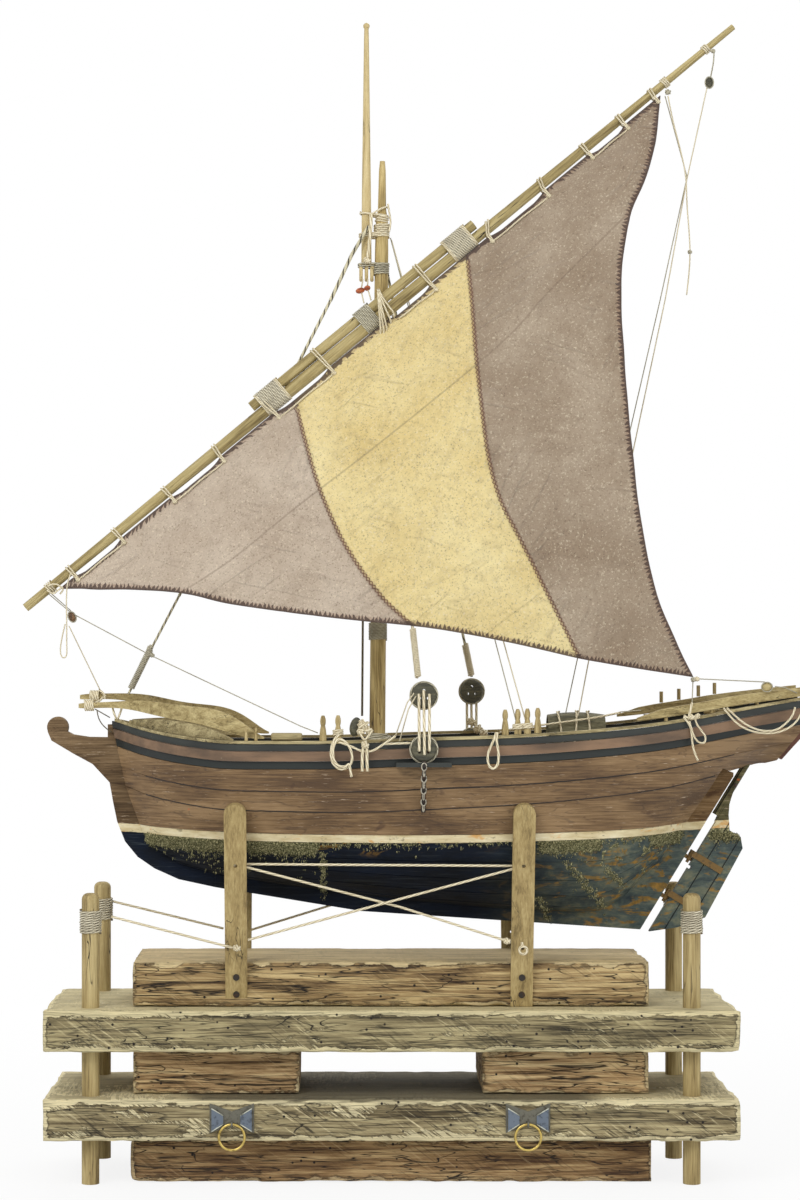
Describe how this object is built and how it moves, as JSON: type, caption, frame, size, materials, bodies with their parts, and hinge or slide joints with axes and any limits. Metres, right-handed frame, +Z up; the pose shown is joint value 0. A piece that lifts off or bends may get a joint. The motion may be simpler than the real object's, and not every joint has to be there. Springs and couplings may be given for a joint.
{
  "type": "model sailing fishing boat on a timber stand",
  "caption": "Wooden model of a decked fishing boat with one lateen sail, propped by posts on a stack of rough timbers; the rudder turns on its pintles.",
  "frame": {"origin": "middle of the underside of the bottom timber, where the stand meets the table", "axes": "+X runs from bow to stern, -Y is the port side, +Z is up"},
  "size_m": [0.5542, 0.1776, 0.8029],
  "materials": {
    "stand_plank": "painted board, cream worn edges",
    "stand_block": "bare softwood, rough sawn",
    "dowel_wood": "stained",
    "post_wood": "painted and rubbed",
    "cord": "twisted cotton",
    "grey_cord": "twisted cotton, grey",
    "plate_steel": "dark steel, worn",
    "ring_brass": "dull",
    "screw_steel": "blackened",
    "core_wood": "bare",
    "stem_paint": "worn navy paint over wood",
    "keel_paint": "worn navy paint",
    "plank_paint": "faded brown paint, open seams",
    "bottom_paint": "worn antifouling with weed",
    "stripe_paint": "cream paint, flaked",
    "band_paint": "navy paint",
    "rub_paint": "reddish brown, rubbed",
    "upper_paint": "dark slate paint",
    "rail_wood": "khaki wash",
    "deck_wood": "bare planks",
    "transom_paint": "maroon paint",
    "beam_wood": "khaki wash, oiled",
    "iron": "rusted black iron",
    "strap_metal": "tarnished, ochre",
    "deadeye_wood": "dark olive, oiled",
    "pin_wood": "turned, dark heads",
    "barrel_wood": "dark olive staves",
    "spar_wood": "khaki wash, tapered",
    "staff_wood": "pale",
    "sail_cloth": "plain weave, taupe and ochre panels",
    "rudder_paint": "worn navy paint, cream band"
  },
  "bodies": {
    "boat_and_stand": {"base_timber": "stand_block", "lower_plank": "stand_plank", "spacer_blocks": "stand_block", "upper_plank": "stand_plank", "top_block": "stand_block", "stand_dowels": "dowel_wood", "dowel_whippings": "cord", "posts": "post_wood", "post_screws": "screw_steel", "ring_plates": "plate_steel", "hull_core": "core_wood", "stem": "stem_paint", "keel": "keel_paint", "sternpost": "keel_paint", "gudgeons": "strap_metal", "topside_planks_starboard": "plank_paint", "topside_planks_port": "plank_paint", "bottom_planks_starboard": "bottom_paint", "bottom_planks_port": "bottom_paint", "waterline_strakes": "stripe_paint", "band_strakes": "band_paint", "rubbing_strakes": "rub_paint", "bulwarks": "upper_paint", "cap_rails": "rail_wood", "transom": "transom_paint", "deck": "deck_wood", "hatch": "deck_wood", "bow_timbers": "beam_wood", "wash_boards": "rail_wood", "stern_beams": "beam_wood", "stern_stanchions": "pin_wood", "tholes": "pin_wood", "channels": "upper_paint", "chainplates": "iron", "deadeyes": "deadeye_wood", "lanyards": "cord", "shrouds": "cord", "forestay": "grey_cord", "belaying_pins": "pin_wood", "roller": "rail_wood", "barrel": "barrel_wood", "mast": "spar_wood", "staff": "staff_wood", "staff_lashings": "cord", "yard": "spar_wood", "fish_spar": "spar_wood", "yard_bindings": "cord", "parrel": "cord", "sail": "sail_cloth"},
    "rudder": {"rudder": "rudder_paint", "rudder_straps": "strap_metal", "tiller": "beam_wood"},
    "ring_left": {"ring_left": "ring_brass"},
    "ring_right": {"ring_right": "ring_brass"}
  },
  "joints": [
    {"name": "rudder_turn", "type": "hinge", "parent": "boat_and_stand", "child": "rudder", "pos_m": [0.17816, 0, 0.16687], "axis": [0.5204, 0, 0.854], "range_deg": [-35, 35]},
    {"name": "ring_left_swing", "type": "hinge", "parent": "boat_and_stand", "child": "ring_left", "pos_m": [-0.108, -0.0674, 0.0436], "axis": [-1, 0, 0], "range_deg": [0, 150]},
    {"name": "ring_right_swing", "type": "hinge", "parent": "boat_and_stand", "child": "ring_right", "pos_m": [0.092, -0.0674, 0.0436], "axis": [-1, 0, 0], "range_deg": [0, 150]}
  ]
}
